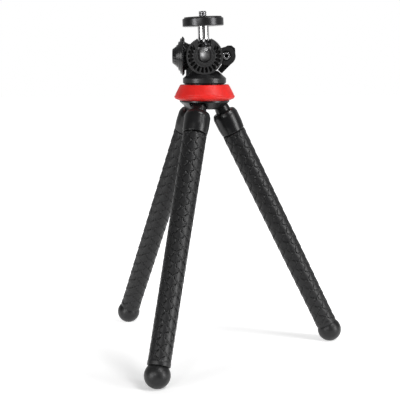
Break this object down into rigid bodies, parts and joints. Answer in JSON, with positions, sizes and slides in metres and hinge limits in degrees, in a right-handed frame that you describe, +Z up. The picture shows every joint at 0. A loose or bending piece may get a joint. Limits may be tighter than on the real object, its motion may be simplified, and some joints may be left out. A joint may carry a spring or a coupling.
{
  "type": "phone tripod",
  "caption": "Small tabletop tripod with bendable rubber legs, a red trim ring, a side-lever ball head and a round camera-screw platform.",
  "frame": {"origin": "on the head's pan axis, in the plane that the three feet stand on", "axes": "+Z up along the pan axis, +X to the right of the head's front, -Y is the side that the stem folds down to"},
  "size_m": [0.1973, 0.205, 0.2784],
  "materials": {
    "satin_black_plastic": "satin moulded plastic",
    "gloss_black_plastic": "polished moulded plastic",
    "black_rubber": "matt moulded rubber",
    "red_plastic": "fine-grained red plastic",
    "chrome_steel": "polished chrome",
    "dark_metal": "dark polished coating",
    "steel": "plain steel",
    "core_aluminium": "bendable rod",
    "brass": "turned brass"
  },
  "bodies": {
    "hub": {"leg_hub": "gloss_black_plastic", "trim_ring": "red_plastic", "bearing_plate": "steel", "pan_washer": "satin_black_plastic", "pan_spring_washer": "steel", "hub_cover": "gloss_black_plastic", "hub_screws": "steel", "right_hinge_pin": "steel", "back_hinge_pin": "steel", "front_hinge_pin": "steel"},
    "right_leg": {"right_knuckle": "gloss_black_plastic", "right_collar": "gloss_black_plastic", "right_cross_pin": "steel", "right_upper_core": "core_aluminium", "right_upper_sleeve": "black_rubber"},
    "right_lower_leg": {"right_lower_core": "core_aluminium", "right_lower_sleeve": "black_rubber", "right_foot": "black_rubber"},
    "back_leg": {"back_knuckle": "gloss_black_plastic", "back_collar": "gloss_black_plastic", "back_cross_pin": "steel", "back_upper_core": "core_aluminium", "back_upper_sleeve": "black_rubber"},
    "back_lower_leg": {"back_lower_core": "core_aluminium", "back_lower_sleeve": "black_rubber", "back_foot": "black_rubber"},
    "front_leg": {"front_knuckle": "gloss_black_plastic", "front_collar": "gloss_black_plastic", "front_cross_pin": "steel", "front_upper_core": "core_aluminium", "front_upper_sleeve": "black_rubber"},
    "front_lower_leg": {"front_lower_core": "core_aluminium", "front_lower_sleeve": "black_rubber", "front_foot": "black_rubber"},
    "head": {"head_base": "satin_black_plastic", "base_screws": "steel", "pan_bolt": "steel", "socket_body": "satin_black_plastic", "socket_front_shell": "satin_black_plastic", "socket_back_shell": "satin_black_plastic", "shell_screws": "steel", "lever_pivot_screw": "steel", "lever_pivot_nut": "steel", "knob_boss": "satin_black_plastic"},
    "lever": {"cam_lever": "gloss_black_plastic", "lever_bushing": "brass"},
    "knob": {"lock_knob": "satin_black_plastic", "lock_knob_cap": "satin_black_plastic", "lock_screw": "steel"},
    "lock_plunger": {"lock_pad": "satin_black_plastic"},
    "seat": {"ball_seat": "satin_black_plastic"},
    "ball_group": {"ball": "dark_metal", "stem_collar": "dark_metal"},
    "platform": {"ball_stem": "chrome_steel", "screw_platform": "dark_metal", "platform_pad": "black_rubber", "camera_screw": "steel"}
  },
  "joints": [
    {"name": "right_spread", "type": "hinge", "parent": "hub", "child": "right_leg", "pos_m": [0.01229, 0.00228, 0.204], "axis": [0.1822, -0.9833, 0], "range_deg": [-26.29, 22]},
    {"name": "right_bend", "type": "hinge", "parent": "right_leg", "child": "right_lower_leg", "pos_m": [0.06359, 0.01179, 0.09841], "axis": [0.1822, -0.9833, 0], "range_deg": [0, 45]},
    {"name": "back_spread", "type": "hinge", "parent": "hub", "child": "back_leg", "pos_m": [-0.00812, 0.00951, 0.204], "axis": [0.7604, 0.6494, 0], "range_deg": [-26.29, 22]},
    {"name": "back_bend", "type": "hinge", "parent": "back_leg", "child": "back_lower_leg", "pos_m": [-0.042, 0.04918, 0.09841], "axis": [0.7604, 0.6494, 0], "range_deg": [0, 45]},
    {"name": "front_spread", "type": "hinge", "parent": "hub", "child": "front_leg", "pos_m": [-0.00417, -0.01178, 0.204], "axis": [-0.9426, 0.3338, 0], "range_deg": [-26.29, 22]},
    {"name": "front_bend", "type": "hinge", "parent": "front_leg", "child": "front_lower_leg", "pos_m": [-0.02159, -0.06096, 0.09841], "axis": [-0.9426, 0.3338, 0], "range_deg": [0, 45]},
    {"name": "pan", "type": "hinge", "parent": "hub", "child": "head", "pos_m": [0, 0, 0.2202], "axis": [0, 0, 1], "continuous": true},
    {"name": "side_tilt", "type": "hinge", "parent": "head", "child": "seat", "pos_m": [0, 0, 0.2426], "axis": [0, 1, 0], "range_deg": [-19.5, 23.5]},
    {"name": "forward_tilt", "type": "hinge", "parent": "seat", "child": "ball_group", "pos_m": [0, 0, 0.2426], "axis": [0.9993, 0, 0.0384], "range_deg": [0, 90]},
    {"name": "platform_spin", "type": "hinge", "parent": "ball_group", "child": "platform", "pos_m": [0, 0, 0.2426], "axis": [-0.0384, 0, 0.9993], "continuous": true},
    {"name": "lever_swing", "type": "hinge", "parent": "head", "child": "lever", "pos_m": [0.0175, 0, 0.2426], "axis": [0, -1, 0], "range_deg": [0, 75]},
    {"name": "knob_turn", "type": "hinge", "parent": "head", "child": "knob", "pos_m": [-0.0171, 0, 0.2426], "axis": [-1, 0, 0], "range_deg": [0, 270]},
    {"name": "plunger_slide", "type": "slide", "parent": "head", "child": "lock_plunger", "axis": [-1, 0, 0], "range_m": [0, 0.00076]}
  ],
  "couplings": [
    {"joint": "plunger_slide", "follows": "knob_turn", "m_per_rad": 0.00015915}
  ]
}
